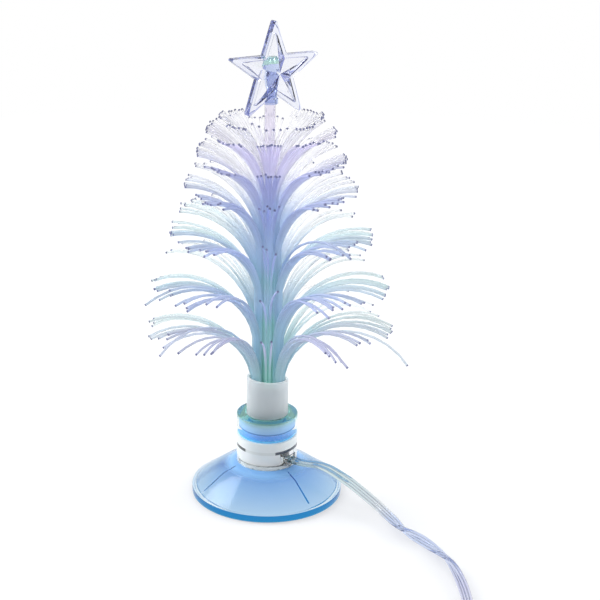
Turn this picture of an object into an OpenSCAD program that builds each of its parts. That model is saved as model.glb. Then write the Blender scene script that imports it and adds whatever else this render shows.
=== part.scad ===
// Fiber optic christmas tree on a suction cup, with a clear lamp housing and a coiled lead.
// Millimetres, +Z up. The origin is the middle of the cup's rim, on the surface it stands on.
// The viewer's side is -Y.

/* [Suction cup] */
// Diameter of the rim
cup_d = 60; // [52:0.5:80]
// Height of the cup, up to the seat of the housing
cup_h = 13.2; // [11:0.1:20]
// Height of the rim's upright edge
rim_h = 3.2; // [2.4:0.1:5]
// Width of the flat ring that the cup rests on
rim_w = 2.4; // [1.5:0.1:5]
// Bevel along the rim's upper and lower edges
rim_bevel = 0.6; // [0.2:0.1:1]
// Thickness of the cone's wall
cup_wall = 1.8; // [1:0.1:2.5]
// Thickness of the cup under its seat
cup_top = 3; // [2:0.1:4]
// Width of the cone's lip round the housing
cup_lip = 0.4; // [0.1:0.1:2]
// Diameter of the stud's neck
stud_d = 5.2; // [4:0.1:7]
// Diameter of the stud's head
stud_head_d = 8.4; // [7.4:0.1:10]
// Height of the stud's head
stud_head_h = 1.8; // [1:0.1:2.4]

/* [Lamp housing] */
// Outer diameter of the housing
housing_d = 24.2; // [23:0.1:32]
// Depth of the socket for the sleeve
socket_depth = 5.5; // [2:0.1:8]
// Bevel round the housing's top edge
housing_bevel = 0.5; // [0.2:0.1:1]
// Diameter of the light filter
filter_d = 18.2; // [17.6:0.1:20]
// Thickness of the light filter
filter_t = 3.5; // [2:0.1:5]
// Diameter of the bottom plate
plate_d = 21; // [20:0.1:22]
// Thickness of the bottom plate
plate_t = 1.2; // [1:0.1:3]
// Height of the ring under the circuit board
lower_spacer_h = 4.6; // [4.2:0.1:6]
// Height of the ring over the circuit board
upper_spacer_h = 4.4; // [4.4:0.1:8]
// Wall of both rings
spacer_wall = 1.3; // [0.8:0.1:1.6]
// Thickness of the circuit board
board_t = 1.2; // [0.8:0.1:1.6]

/* [Light source] */
// Diameter of the lamp's body
led_d = 4.8; // [3:0.1:5.4]
// Diameter of the lamp's flange
led_flange_d = 5.8; // [5.5:0.1:7]
// Thickness of the lamp's flange
led_flange_h = 1; // [0.6:0.1:1.5]
// Height of the lamp, with its flange
led_h = 4; // [3.6:0.1:4.2]
// Diameter of a leg
leg_d = 0.5; // [0.4:0.05:0.6]
// Distance between the legs
leg_pitch = 2.54; // [2:0.01:3]
// Length of leg below the board
leg_tail = 1; // [0.5:0.1:1.5]
// Length of the chip resistor
resistor_l = 3.2; // [2:0.1:4]
// Width of the chip resistor
resistor_w = 1.6; // [1:0.1:2]
// Height of the chip resistor
resistor_h = 0.6; // [0.4:0.1:1]
// Distance of the chip resistor from the middle of the board
resistor_y = 5.2; // [4.4:0.1:5.8]

/* [Fibres] */
// Diameter of the rod in the middle
rod_d = 4; // [3:0.1:5]
// Height of the rod's top above the sleeve
rod_rise = 120.8; // [112:0.1:140]
// Thickness of a fibre, and of a layer of them
fiber_t = 0.6; // [0.4:0.05:0.75]
// Length of the sleeve
sleeve_l = 21.5; // [15:0.1:30]
// Wall of the sleeve
sleeve_wall = 1; // [0.8:0.1:2]
// Distance of the bundle's end above the sleeve's end
bundle_inset = 0.4; // [0.2:0.1:2]
// Thickness of the band round the bundle
band_t = 0.15; // [0.1:0.05:0.4]
// Distance of the band below the sleeve's top
band_drop = 4; // [2:0.1:8]
// Reach of each tier from the axis, from the bottom up
tier_reach = [48, 45.5, 39, 33, 28.5, 24.5, 19.6]; // [12:0.5:60]
// Height of each tier's tips above the sleeve
tier_rise = [20.2, 38, 57.5, 75.5, 87.2, 97.5, 103.8]; // [18:0.5:120]
// Slope of each tier's tips, in degrees above level
tier_slope = [-30, -22, -12, 0, 10, 20, 32]; // [-60:1:60]
// Number of fibres in each tier
tier_count = [64, 56, 48, 40, 40, 32, 24]; // [8:8:80]
// Number of straight stretches in each tier's fibres
tier_steps = [3, 3, 3, 3, 2, 2, 2]; // [2:1:5]
// Slope of the fibres where they leave the bundle
leave_slope = 80; // [70:1:88]
// Extra slope of every other fibre's tip
slope_spread = 14; // [0:1:20]
// Length of every other fibre, as a share of its neighbour's
short_share = 0.93; // [0.8:0.01:1]

/* [Star] */
// Reach of the star's points from its middle
star_r = 18.5; // [15:0.1:24]
// Reach of the notches between the points
star_notch_r = 7.8; // [7.2:0.1:10]
// Length cut off each point
star_tip_cut = 1.6; // [0.5:0.1:3]
// Bulge of each blunt point
star_tip_bulge = 0.4; // [0.1:0.1:1]
// Thickness of a half at its edge
star_edge_t = 1.7; // [1.4:0.1:3]
// Thickness of a half at its middle
star_mid_t = 5.2; // [4.6:0.1:7]
// Wall of the star
star_wall = 1.2; // [0.8:0.1:1.4]
// Turn of the star round the rod, in degrees
star_turn = 29; // [0:1:90]
// Height of the star's middle above the socket's mouth
star_lift = 13.6; // [12.6:0.1:15]
// Depth of the rod in the socket
socket_grip = 14; // [12:0.1:16]
// Wall of the socket
socket_wall = 0.6; // [0.5:0.05:1]
// Thickness of the socket's closed end
socket_end = 1.2; // [0.6:0.1:2]

/* [Lead and plug] */
// Width of the flat twin lead
cord_w = 4; // [3:0.1:4.4]
// Thickness of the lead
cord_t = 2; // [1.6:0.1:2.2]
// Direction of the lead where it leaves the housing, in degrees
cord_exit_turn = -38; // [-45:1:-25]
// Width of the bush in the wall
bush_w = 6.4; // [5.8:0.1:7]
// Height of the bush in the wall
bush_h = 3.6; // [3.6:0.1:4]
// Diameter of a bare wire
wire_d = 1; // [0.6:0.1:1.2]
// Distance of the wires' ends from the axis
wire_r = 5.6; // [5.2:0.1:6]
// Inner radius of the coil, at the middle of the lead
coil_r = 15.5; // [12:0.1:20]
// Step from one turn of the coil to the next
coil_pitch = 4.6; // [4.5:0.1:6]
// Step from the coil's lower layer to its upper one
coil_layer = 2.5; // [2.5:0.1:4]
// Turns in the lower layer
coil_turns = 3; // [2:1:5]
// Rings in a turn of the coil
coil_rings = 20; // [12:1:24]
// Thickness of the tie
tie_t = 0.5; // [0.3:0.1:1]
// Width of the tie
tie_w = 4; // [2:0.1:8]
// Width of the plug's grip
grip_w = 15.6; // [14:0.1:18]
// Length of the plug's grip
grip_l = 20; // [15:0.1:30]
// Corner radius of the plug's grip
grip_round = 1.6; // [0.8:0.1:3]
// Length of the plug's strain relief
relief_l = 8; // [6:0.1:12]
// Radius of the strain relief at the grip
relief_r = 3.4; // [2.8:0.1:4]
// Radius of the strain relief at the lead
relief_tip_r = 2.4; // [2.2:0.1:2.8]
// Straight length of lead between the coil and the plug
coil_tail = 17; // [15:0.1:30]
// Width of the plug's metal shell
shell_w = 12; // [12:0.1:12.4]
// Height of the plug's metal shell
shell_h = 4.5; // [4.5:0.1:4.8]
// Length of the metal shell that shows
shell_l = 12; // [10:0.1:13]
// Depth of the metal shell in the grip
shell_root = 3; // [2:0.1:5]
// Wall of the metal shell
shell_wall = 0.3; // [0.2:0.05:0.4]
// Thickness of the plug's tongue
tongue_t = 1.9; // [1.6:0.1:2]
// Distance of the tongue behind the shell's mouth
tongue_inset = 1; // [0.5:0.1:2]
// Side of the square windows in the shell
window_w = 2.4; // [1.5:0.1:3]

/* [Clearances] */
// Gap round a turning or sliding fit
fit_gap = 0.05; // [0.02:0.01:0.1]
// Gap between bodies that rest on each other
seat_gap = 0.1; // [0.05:0.05:0.3]
// Gap between the layers of fibres
layer_gap = 0.1; // [0.08:0.01:0.2]
// Gap round the lead in its bush and in the tie
cord_gap = 0.2; // [0.1:0.05:0.3]

/* [Hidden] */
$fn = 96;
FINE = 32;
EPS = 0.01;

// Radii of the bundle, from the rod outwards
tiers = len(tier_reach);
rod_r = rod_d / 2;
layer_step = fiber_t + layer_gap;
bundle_r = rod_r + tiers * layer_step;
band_r = bundle_r + fit_gap + band_t;
sleeve_in_r = band_r + layer_gap;
sleeve_r = sleeve_in_r + sleeve_wall;

// Heights, from the cup up to the star
housing_z = cup_h + seat_gap;
plate_z = housing_z + plate_t;
cord_exit_z = plate_z + seat_gap + bush_h / 2;
board_z = plate_z + lower_spacer_h;
board_top = board_z + board_t;
filter_z = board_top + upper_spacer_h;
filter_top = filter_z + filter_t;
housing_top = filter_top + socket_depth;
sleeve_z = filter_top + seat_gap;
sleeve_top = sleeve_z + sleeve_l;
bundle_z = sleeve_z + bundle_inset;
rod_top = sleeve_top + rod_rise;
socket_z = rod_top - socket_grip;
socket_top = rod_top + seat_gap + socket_end;
star_z = socket_z + star_lift;

// Radii of the cup and the housing
cup_r = cup_d / 2;
seat_r = housing_d / 2 + cup_lip;
housing_r = housing_d / 2;
chamber_r = filter_d / 2 + fit_gap;
plate_r = plate_d / 2;
spacer_in_r = filter_d / 2 - spacer_wall;
socket_r = rod_r + fit_gap + socket_wall;

// The cone's fall across its width, and the same line moved in by the wall
cone_run = cup_r - rim_bevel - seat_r;
cone_fall = (cup_h - rim_h) / cone_run;
cone_drop = cup_wall * sqrt(1 + cone_fall * cone_fall);
cave_r = cup_r - rim_w;
cave_z = rim_h + (cup_r - rim_bevel - cave_r) * cone_fall - cone_drop;
cave_top = cup_h - cup_top;
cave_top_r = cave_r - (cave_top - cave_z) / cone_fall;

// Route of the lead from the board to the coil: x, y, z and the roll of the flat lead in degrees
cord_start_r = 7;
exit_dir = [cos(cord_exit_turn), sin(cord_exit_turn)];
route = [for (r = [cord_start_r, 10, 13, 16]) [r * exit_dir.x, r * exit_dir.y, cord_exit_z, 0]];
floor_route = [
    [15.8, -11, 16.3, 0], [19.2, -11, 15.9, -8], [22.5, -10.7, 14.8, -24], [25.6, -10.4, 13.1, -40],
    [28.6, -10.4, 11.1, -50], [31.9, -11.4, 9.2, -50], [35.5, -13.8, 7.3, -48], [39.2, -17.4, 5.6, -46],
    [42.6, -21.7, 4.4, -44], [46, -27.3, 3.5, -36], [49.2, -33.5, 2.9, -8], [52, -39.3, 2.6, 42],
    [55, -43.2, 2.5, 85], [58.4, -47.2, 2.4, 130], [62.1, -53, 2.4, 176], [65.9, -60.2, 2.4, 228],
    [67.9, -66.5, 2.4, 274], [69.1, -73, 2.3, 304], [69.9, -80, 2.3, 324], [70.3, -88, 2.3, 340],
    [70.3, -98, 2, 354], [70.3, -108, 1.7, 360], [70.3, -118, 1.7, 360], [70.3, -126, 1.7, 360]];
cord_subdivisions = 2;

// The coil: it starts where the route ends, winds in below, climbs, and winds out above
route_end = floor_route[len(floor_route) - 1];
coil_lead = cord_w;
coil_out_r = coil_r + coil_turns * coil_pitch;
coil_x = route_end.x - coil_out_r;
coil_y = route_end.y - coil_lead;
coil_z = route_end.z;
climb_turn = 180;
upper_turn = coil_turns * 360 - 90;
coil_turn = coil_turns * 360 + climb_turn + upper_turn;
coil_end_r = coil_r + upper_turn / 360 * coil_pitch;
coil_top_z = coil_z + coil_layer;
coil_cut = 0.8;

// The plug lies along -X, past the end of the coil's upper layer
plug_y = coil_y - coil_end_r;
plug_x = coil_x - coil_tail;
plug_z = coil_top_z;
grip_x = plug_x - relief_l;
shell_x = grip_x - grip_l;

module ring(r_out, r_in, h) {
    difference() {
        cylinder(r = r_out, h = h);
        translate([0, 0, -EPS]) cylinder(r = r_in, h = h + 2 * EPS);
    }
}

// A bar with a flat lead's round-edged outline, along +X from the origin
module flat_bar(w, t, l) {
    rotate([90, 0, 90]) {
        translate([-(w - t) / 2, -t / 2, 0]) cube([w - t, t, l]);
        for (side = [-1, 1]) translate([side * (w - t) / 2, 0, 0]) cylinder(d = t, h = l);
    }
}

// Suction cup with its stud
module suction_cup() {
    color("#6FA8E6") {
        rotate_extrude() polygon([
            [0, cave_top], [cave_top_r, cave_top], [cave_r, cave_z], [cave_r, 0],
            [cup_r - rim_bevel, 0], [cup_r, rim_bevel], [cup_r, rim_h - rim_bevel],
            [cup_r - rim_bevel, rim_h], [seat_r, cup_h], [0, cup_h]]);
        translate([0, 0, cup_h - EPS]) cylinder(d = stud_d, h = plate_t + 2 * seat_gap + 2 * EPS);
        translate([0, 0, plate_z + seat_gap]) cylinder(d = stud_head_d, h = stud_head_h);
    }
}

// Space in the housing's wall for the bush, with a gap round it
module bush_space(gap) {
    rotate([0, 0, cord_exit_turn])
        translate([0, -bush_w / 2 - gap, cord_exit_z - bush_h / 2 - gap])
            cube([housing_d, bush_w + 2 * gap, bush_h + 2 * gap]);
}

module housing() {
    color("#DDF1EE") difference() {
        rotate_extrude() polygon([
            [plate_r + fit_gap, housing_z], [housing_r, housing_z],
            [housing_r, housing_top - housing_bevel], [housing_r - housing_bevel, housing_top],
            [sleeve_r + fit_gap, housing_top], [sleeve_r + fit_gap, filter_top],
            [chamber_r, filter_top], [chamber_r, plate_z], [plate_r + fit_gap, plate_z]]);
        bush_space(fit_gap);
    }
}

module bottom_plate() {
    color("#E8F4F4") translate([0, 0, housing_z]) ring(plate_r, stud_d / 2 + fit_gap, plate_t);
}

// Ring under the board, open where the lead comes in
module lower_spacer() {
    color("#EDEFF0") difference() {
        translate([0, 0, plate_z]) ring(filter_d / 2, spacer_in_r, lower_spacer_h);
        rotate([0, 0, cord_exit_turn]) translate([0, -bush_w / 2, plate_z - EPS])
            cube([housing_d, bush_w, lower_spacer_h + 2 * EPS]);
    }
}

module upper_spacer() {
    color("#EDEFF0") translate([0, 0, board_top]) ring(filter_d / 2, spacer_in_r, upper_spacer_h);
}

module light_filter() {
    color("#5B97DC") translate([0, 0, filter_z]) cylinder(d = filter_d, h = filter_t);
}

module circuit_board() {
    color("#2F7D4F") difference() {
        translate([0, 0, board_z]) cylinder(d = filter_d, h = board_t);
        for (side = [-1, 1])
            translate([side * leg_pitch / 2, 0, board_z - EPS])
                cylinder(d = leg_d + 2 * fit_gap, h = board_t + 2 * EPS, $fn = FINE);
    }
}

// Lamp with a flange and a domed end
module led() {
    dome_r = led_d / 2;
    straight_h = led_h - led_flange_h - dome_r;
    color("#F4F8FF") translate([0, 0, board_top]) {
        cylinder(d = led_flange_d, h = led_flange_h);
        cylinder(d = led_d, h = led_flange_h + straight_h);
        translate([0, 0, led_flange_h + straight_h]) intersection() {
            sphere(r = dome_r);
            translate([0, 0, -EPS]) cylinder(r = led_d, h = led_d);
        }
    }
}

module led_legs() {
    color("silver") for (side = [-1, 1])
        translate([side * leg_pitch / 2, 0, board_z - leg_tail])
            cylinder(d = leg_d, h = board_t + leg_tail, $fn = FINE);
}

module chip_resistor() {
    color("#2B2B2E") translate([-resistor_l / 2, resistor_y - resistor_w / 2, board_top])
        cube([resistor_l, resistor_w, resistor_h]);
}

// Two bare wires from the lead's end up to the board
module lead_wires() {
    color("#C98B52") rotate([0, 0, cord_exit_turn]) for (side = [-1, 1])
        translate([wire_r, side * cord_w / 4, cord_exit_z]) {
            rotate([0, 90, 0]) cylinder(d = wire_d, h = cord_start_r - wire_r, $fn = FINE);
            sphere(d = wire_d, $fn = FINE);
            cylinder(d = wire_d, h = board_z - cord_exit_z, $fn = FINE);
        }
}

module cord_bush() {
    color("#CFEDE9") difference() {
        intersection() {
            bush_space(0);
            translate([0, 0, housing_z]) ring(housing_r, filter_d / 2 + fit_gap, housing_top - housing_z);
        }
        rotate([0, 0, cord_exit_turn]) translate([0, 0, cord_exit_z])
            flat_bar(cord_w + 2 * cord_gap, cord_t + 2 * cord_gap, housing_d);
    }
}

module sleeve() {
    color("#F4F6F8") translate([0, 0, sleeve_z]) ring(sleeve_r, sleeve_in_r, sleeve_l);
}

module binding_band() {
    color("#D9DEE4") translate([0, 0, bundle_z])
        ring(band_r, bundle_r + fit_gap, sleeve_top - band_drop - bundle_z);
}

module center_rod() {
    color("#E6EEF6") translate([0, 0, bundle_z]) cylinder(r = rod_r, h = rod_top - bundle_z);
}

// One layer of the bundle, whose top edge is split into fibres that curl outwards.
// Each fibre stays in its own sector of the circle, so none crosses another.
module fiber_tier(t) {
    n = tier_count[t];
    steps = tier_steps[t];
    half = 180 / n;
    r_out = bundle_r - t * layer_step;
    r_in = r_out - fiber_t;
    r_mid = (r_out + r_in) / 2;
    half_w = r_out * sin(half);
    tip_z = sleeve_top + tier_rise[t];
    bend_r = (tier_reach[t] - r_mid) / (sin(leave_slope) - sin(tier_slope[t]));
    leave_z = tip_z - bend_r * (cos(tier_slope[t]) - cos(leave_slope));

    function at(r, a, z) = [r * cos(a), r * sin(a), z];
    function tip_slope(i) = tier_slope[t] + (i % 2) * slope_spread;
    function share(i) =
        i % 2 == 0 ? 1 : short_share * (leave_slope - tier_slope[t]) / (leave_slope - tip_slope(i));
    function slope(i, s) = leave_slope + (tip_slope(i) - leave_slope) * s / steps;
    function path_r(i, s) = r_mid + bend_r * share(i) * (sin(leave_slope) - sin(slope(i, s)));
    function path_z(i, s) = leave_z + bend_r * share(i) * (cos(slope(i, s)) - cos(leave_slope));
    function corner(i, s, side, up) =
        let (a = i * 2 * half,
             r = path_r(i, s) - up * fiber_t / 2 * sin(slope(i, s)),
             z = path_z(i, s) + up * fiber_t / 2 * cos(slope(i, s)))
        [r * cos(a) - side * half_w * sin(a), r * sin(a) + side * half_w * cos(a), z];

    points = [
        for (i = [0:n - 1]) at(r_out, (2 * i - 1) * half, bundle_z),
        for (i = [0:n - 1]) at(r_in, 2 * i * half, bundle_z),
        for (i = [0:n - 1]) at(r_out, (2 * i - 1) * half, leave_z),
        for (i = [0:n - 1]) at(r_in, 2 * i * half, leave_z),
        for (i = [0:n - 1]) for (s = [1:steps])
            each [corner(i, s, -1, -1), corner(i, s, 1, -1), corner(i, s, 0, 1)]];

    function low_out(i) = i % n;
    function low_in(i) = n + i % n;
    function top_out(i) = 2 * n + i % n;
    function top_in(i) = 3 * n + i % n;
    function strand(i, s, k) =
        s == 0 ? [top_out(i), top_out(i + 1), top_in(i)][k % 3]
               : 4 * n + (i * steps + s - 1) * 3 + k % 3;

    faces = [
        for (i = [0:n - 1]) each [
            [top_out(i), top_out(i + 1), low_out(i + 1)], [top_out(i), low_out(i + 1), low_out(i)],
            [top_in(i + 1), top_in(i), low_in(i)], [top_in(i + 1), low_in(i), low_in(i + 1)],
            [low_out(i), low_out(i + 1), low_in(i)], [low_in(i), low_out(i + 1), low_in(i + 1)],
            [top_in(i), top_in(i + 1), top_out(i + 1)],
            [strand(i, steps, 0), strand(i, steps, 2), strand(i, steps, 1)]],
        for (i = [0:n - 1]) for (s = [0:steps - 1]) for (k = [0:2]) each [
            [strand(i, s + 1, k), strand(i, s + 1, k + 1), strand(i, s, k + 1)],
            [strand(i, s + 1, k), strand(i, s, k + 1), strand(i, s, k)]]];

    polyhedron(points, faces);
}

module fiber_tier_1() { color("#A9B4EA") fiber_tier(0); }
module fiber_tier_2() { color("#A5C2EA") fiber_tier(1); }
module fiber_tier_3() { color("#A9B9EC") fiber_tier(2); }
module fiber_tier_4() { color("#B2AEEA") fiber_tier(3); }
module fiber_tier_5() { color("#B7B2EC") fiber_tier(4); }
module fiber_tier_6() { color("#B9C4F0") fiber_tier(5); }
module fiber_tier_7() { color("#C6D2F4") fiber_tier(6); }

// Outline of the star, anticlockwise from the front: each arm has a notch and a blunt point
function star_outline(scale_by) =
    let (full_r = star_r + star_tip_cut,
         cut = star_tip_cut / (full_r - star_notch_r * cos(36)))
    [for (arm = [0:4])
        let (a = 90 + arm * 72,
             tip = full_r * [cos(a), sin(a)],
             before = star_notch_r * [cos(a - 36), sin(a - 36)],
             after = star_notch_r * [cos(a + 36), sin(a + 36)],
             blunt = (star_r + star_tip_bulge) * [cos(a), sin(a)])
        each [before * scale_by, (tip + (before - tip) * cut) * scale_by, blunt * scale_by,
              (tip + (after - tip) * cut) * scale_by]];

// Hollow half of the star: its open side is the plane y = 0, and its facets face -Y
module star_half() {
    full_r = star_r + star_tip_cut;
    side_l = sqrt(full_r * full_r + star_notch_r * star_notch_r - 2 * full_r * star_notch_r * cos(36));
    side_dist = full_r * star_notch_r * sin(36) / side_l;
    outer = star_outline(1);
    inner = star_outline((side_dist - star_wall) / side_dist);
    n = len(outer);
    points = [
        for (p = outer) [p.x, 0, p.y],
        for (p = outer) [p.x, -star_edge_t, p.y],
        for (p = inner) [p.x, 0, p.y],
        for (p = inner) [p.x, star_wall / 2 - star_edge_t, p.y],
        [0, -star_mid_t, 0],
        [0, star_wall - star_mid_t, 0]];
    faces = [for (i = [0:n - 1]) let (j = (i + 1) % n) each [
        [4 * n, n + j, n + i], [n + i, n + j, j], [n + i, j, i],
        [i, j, 2 * n + j], [i, 2 * n + j, 2 * n + i],
        [3 * n + i, 2 * n + j, 3 * n + j], [3 * n + i, 2 * n + i, 2 * n + j],
        [4 * n + 1, 3 * n + i, 3 * n + j]]];
    polyhedron(points, faces);
}

// The half, cut out for the socket
module star_shell() {
    difference() {
        star_half();
        translate([0, 0, socket_z - star_z - EPS]) rotate([0, 0, 90])
            cylinder(r = socket_r + fit_gap, h = socket_top + fit_gap - socket_z + EPS);
    }
}

module star_front() {
    color("#E4E4FA") translate([0, 0, star_z]) rotate([0, 0, star_turn]) star_shell();
}

module star_back() {
    color("#DADDF8") translate([0, 0, star_z]) rotate([0, 0, star_turn]) mirror([0, 1, 0]) star_shell();
}

module star_socket() {
    color("#DFF0EE") difference() {
        translate([0, 0, socket_z]) cylinder(r = socket_r, h = socket_top - socket_z);
        translate([0, 0, socket_z - EPS]) cylinder(r = rod_r + fit_gap, h = socket_grip + seat_gap + EPS);
    }
}

// Outlines of the flat lead: eight sides along the floor, six in the coil
lead_cut = cord_t * 0.3;
lead_8 = [
    [cord_w / 2, cord_t / 2 - lead_cut], [cord_w / 2 - lead_cut, cord_t / 2],
    [lead_cut - cord_w / 2, cord_t / 2], [-cord_w / 2, cord_t / 2 - lead_cut],
    [-cord_w / 2, lead_cut - cord_t / 2], [lead_cut - cord_w / 2, -cord_t / 2],
    [cord_w / 2 - lead_cut, -cord_t / 2], [cord_w / 2, lead_cut - cord_t / 2]];
lead_6 = [
    [cord_w / 2, 0], [cord_w / 2 - coil_cut, cord_t / 2], [coil_cut - cord_w / 2, cord_t / 2],
    [-cord_w / 2, 0], [coil_cut - cord_w / 2, -cord_t / 2], [cord_w / 2 - coil_cut, -cord_t / 2]];

function unit(v) = v / norm(v);
function place(p) = [p[0], p[1], p[2]];

// A point between b and c on the smooth curve through a, b, c and d
function between(a, b, c, d, s) =
    b + (c - a) * s / 2 + (2 * a - 5 * b + 4 * c - d) * s * s / 2 + (3 * b - a - 3 * c + d) * s * s * s / 2;

function smooth(pts, count) =
    let (last = len(pts) - 1)
    [for (i = [0:last - 1]) for (k = [0:count - 1])
        between(pts[max(i - 1, 0)], pts[i], pts[i + 1], pts[min(i + 2, last)], k / count),
     pts[last]];

// Sweep of an outline along rings of [x, y, z, roll]
module lead_tube(rings, outline) {
    last = len(rings) - 1;
    n = len(outline);
    points = [for (i = [0:last])
        let (ahead = unit(place(rings[min(i + 1, last)]) - place(rings[max(i - 1, 0)])),
             side = unit(cross(ahead, [0, 0, 1])),
             up = cross(side, ahead),
             roll = rings[i][3])
        for (q = outline)
            place(rings[i]) + side * (q.x * cos(roll) - q.y * sin(roll))
                            + up * (q.x * sin(roll) + q.y * cos(roll))];
    faces = [
        [for (k = [n - 1:-1:0]) k],
        [for (k = [0:n - 1]) last * n + k],
        for (i = [0:last - 1]) for (k = [0:n - 1]) let (m = (k + 1) % n) each [
            [i * n + k, i * n + m, (i + 1) * n + m], [i * n + k, (i + 1) * n + m, (i + 1) * n + k]]];
    polyhedron(points, faces);
}

module cord() {
    color("#DCE6F0") lead_tube(smooth(concat(route, floor_route), cord_subdivisions), lead_8);
}

// Radius and height of the coil after a turn of w degrees
function coil_rate(w) = w / 360 * coil_pitch;
function coil_radius(w) =
    let (down = coil_turns * 360 + climb_turn / 2)
    w < down ? coil_out_r - coil_rate(w) : coil_r - coil_rate(climb_turn / 2) + coil_rate(w - down);
function climb_share(w) = max(0, min(1, (w - coil_turns * 360) / climb_turn));
function coil_height(w) =
    let (s = climb_share(w))
    coil_z + coil_layer * s * s * (3 - 2 * s);
function coil_point(w) =
    [coil_x + coil_radius(w) * cos(w), coil_y - coil_radius(w) * sin(w), coil_height(w), 0];

coil_steps = round(coil_turn / 360 * coil_rings);
coil_path = [
    route_end,
    for (i = [0:coil_steps]) coil_point(coil_turn * i / coil_steps),
    [plug_x + coil_lead, plug_y, plug_z, 0],
    [plug_x, plug_y, plug_z, 0]];

// Least gap between two turns at the same angle, from their distance across and up
lead_slant = [1, coil_cut / (cord_t / 2)] / norm([1, coil_cut / (cord_t / 2)]);
function turn_gap(across, up) =
    max(abs(up) - cord_t, abs(across) * lead_slant.x + abs(up) * lead_slant.y - cord_w * lead_slant.x);
coil_gaps = [
    for (w = [0:5:coil_turn - 360]) for (v = [w + 360:360:coil_turn])
        turn_gap(coil_radius(v) - coil_radius(w), coil_height(v) - coil_height(w))];
echo(coil_least_gap = min(coil_gaps));
coil_lengths = [for (i = [0:len(coil_path) - 2]) norm(place(coil_path[i + 1]) - place(coil_path[i]))];
stretch = smooth(concat(route, floor_route), cord_subdivisions);
stretch_lengths = [for (i = [0:len(stretch) - 2]) norm(place(stretch[i + 1]) - place(stretch[i]))];
function total(list, i = 0) = i == len(list) ? 0 : list[i] + total(list, i + 1);
echo(coil_length = total(coil_lengths), stretch_length = total(stretch_lengths));

module cord_coil() {
    color("#DCE6F0") lead_tube(coil_path, lead_6);
}

// Flat tie round all the turns at the coil's far side
module cord_tie() {
    tie_in = coil_r - coil_pitch / 4 - cord_w / 2 - cord_gap;
    tie_out = coil_out_r + cord_w / 2 + cord_gap;
    hole_z = coil_z - cord_t / 2 - cord_gap;
    hole_h = coil_layer + cord_t + 2 * cord_gap;
    tie_turn = 135;
    color("#F2F2F2") translate([coil_x, coil_y, 0]) rotate([0, 0, tie_turn]) difference() {
        translate([tie_in - tie_t, -tie_w / 2, hole_z - tie_t])
            cube([tie_out - tie_in + 2 * tie_t, tie_w, hole_h + 2 * tie_t]);
        translate([tie_in, -tie_w, hole_z]) cube([tie_out - tie_in, 2 * tie_w, hole_h]);
    }
}

// Moulded grip with a tapered strain relief and a pocket for the shell
module plug_grip() {
    grip_t = 2 * plug_z;
    color("#E9EDF2") translate([grip_x, plug_y, plug_z]) {
        rotate([0, 90, 0]) cylinder(r1 = relief_r, r2 = relief_tip_r, h = relief_l);
        difference() {
            hull() for (x = [-grip_l + grip_round, -grip_round]) for (side = [-1, 1])
                translate([x, side * (grip_w / 2 - grip_round), -grip_t / 2])
                    cylinder(r = grip_round, h = grip_t, $fn = FINE);
            translate([-grip_l - EPS, -shell_w / 2 - fit_gap, -shell_h / 2 - fit_gap])
                cube([shell_root + EPS, shell_w + 2 * fit_gap, shell_h + 2 * fit_gap]);
        }
    }
}

// Metal shell, open at its mouth, with two windows above and two below
module plug_shell() {
    full_l = shell_l + shell_root;
    window_x = shell_l / 2 - window_w / 2;
    color("silver") translate([shell_x - shell_l, plug_y, plug_z]) difference() {
        translate([0, -shell_w / 2, -shell_h / 2]) cube([full_l, shell_w, shell_h]);
        translate([-EPS, shell_wall - shell_w / 2, shell_wall - shell_h / 2])
            cube([full_l + 2 * EPS, shell_w - 2 * shell_wall, shell_h - 2 * shell_wall]);
        for (side = [-1, 1])
            translate([window_x, side * shell_w / 4 - window_w / 2, -shell_h])
                cube([window_w, window_w, 2 * shell_h]);
    }
}

// Tongue on a block that fills the shell's root
module plug_insert() {
    room_w = shell_w - 2 * shell_wall - 2 * fit_gap;
    room_h = shell_h - 2 * shell_wall - 2 * fit_gap;
    tongue_x = shell_x - shell_l + tongue_inset;
    color("white") {
        translate([shell_x, plug_y - room_w / 2, plug_z - room_h / 2]) cube([shell_root, room_w, room_h]);
        translate([tongue_x, plug_y - room_w / 2, plug_z - room_h / 2])
            cube([shell_x + EPS - tongue_x, room_w, tongue_t]);
    }
}

module plug_contacts() {
    contact_pitch = 2.3;
    contact_w = 1;
    contact_t = 0.2;
    contact_l = shell_l - 2 * tongue_inset;
    tongue_top = plug_z - shell_h / 2 + shell_wall + fit_gap + tongue_t;
    color("gold") for (k = [-1.5:1:1.5])
        translate([shell_x - contact_l, plug_y + k * contact_pitch - contact_w / 2, tongue_top])
            cube([contact_l, contact_w, contact_t]);
}

suction_cup();
housing();
bottom_plate();
lower_spacer();
upper_spacer();
light_filter();
circuit_board();
led();
led_legs();
chip_resistor();
lead_wires();
cord_bush();
sleeve();
binding_band();
center_rod();
fiber_tier_1();
fiber_tier_2();
fiber_tier_3();
fiber_tier_4();
fiber_tier_5();
fiber_tier_6();
fiber_tier_7();
star_front();
star_back();
star_socket();
cord();
cord_coil();
cord_tie();
plug_grip();
plug_shell();
plug_insert();
plug_contacts();
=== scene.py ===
"""Looks of a fiber optic christmas tree: fibres on a clear lamp housing, a suction cup, a star and a lead."""

import itertools
import math
import random

import bpy
from mathutils import Matrix, Vector


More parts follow.
